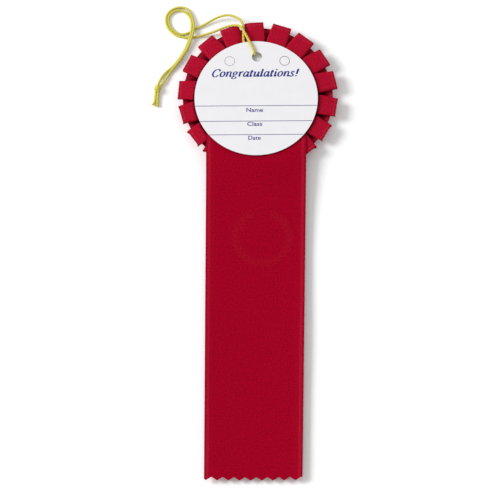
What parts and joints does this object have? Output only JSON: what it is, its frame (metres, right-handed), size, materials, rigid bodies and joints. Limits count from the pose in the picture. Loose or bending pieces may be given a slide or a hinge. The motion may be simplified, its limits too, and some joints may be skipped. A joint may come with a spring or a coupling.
{
  "type": "award ribbon",
  "caption": "Flat pleated satin rosette with a round card back, one long ribbon streamer with a pinked end, and a knotted string to hang it by.",
  "frame": {"origin": "middle of the front button's outer face, on the surface that the ribbon lies on", "axes": "+Z out of the back card, +Y from the streamer's pinked end towards the string, +X to the right when the card is read; the ribbon lies on its front"},
  "size_m": [0.0958, 0.2635, 0.0095],
  "materials": {
    "button_card": "printed gold and red card with a satin varnish",
    "hot_melt": "translucent amber hot-melt glue",
    "pleat_satin": "bright red satin ribbon with corded selvages, folded into crisp box pleats",
    "thread": "red polyester sewing thread",
    "greyboard": "plain grey recycled board",
    "staple_wire": "galvanised wire",
    "streamer_satin": "deep red satin ribbon with a lighter woven band along each edge",
    "card_stock": "smooth uncoated white card printed in blue",
    "string": "yellow two-ply twisted cord"
  },
  "bodies": {
    "rosette": {"front_button": "button_card", "front_glue": "hot_melt", "pleated_ribbon": "pleat_satin", "pleat_thread": "thread", "base_disc": "greyboard", "staple_left": "staple_wire", "staple_right": "staple_wire", "streamer_top": "streamer_satin", "card_glue": "hot_melt", "back_card": "card_stock", "string_front": "string", "string_back": "string", "string_knot": "string", "string_end_left": "string", "string_end_right": "string"},
    "streamer": {"streamer_tail": "streamer_satin"},
    "left_punch": {"left_knockout": "card_stock"},
    "right_punch": {"right_knockout": "card_stock"}
  },
  "joints": [
    {"name": "streamer_flex", "type": "hinge", "parent": "rosette", "child": "streamer", "pos_m": [-0.0012, -0.0425, 0.00595], "axis": [-1, 0, 0], "range_deg": [-70, 110]},
    {"name": "left_punch_out", "type": "slide", "parent": "rosette", "child": "left_punch", "axis": [0, 0, 1], "range_m": [0, 0.004]},
    {"name": "right_punch_out", "type": "slide", "parent": "rosette", "child": "right_punch", "axis": [0, 0, 1], "range_m": [0, 0.004]}
  ]
}
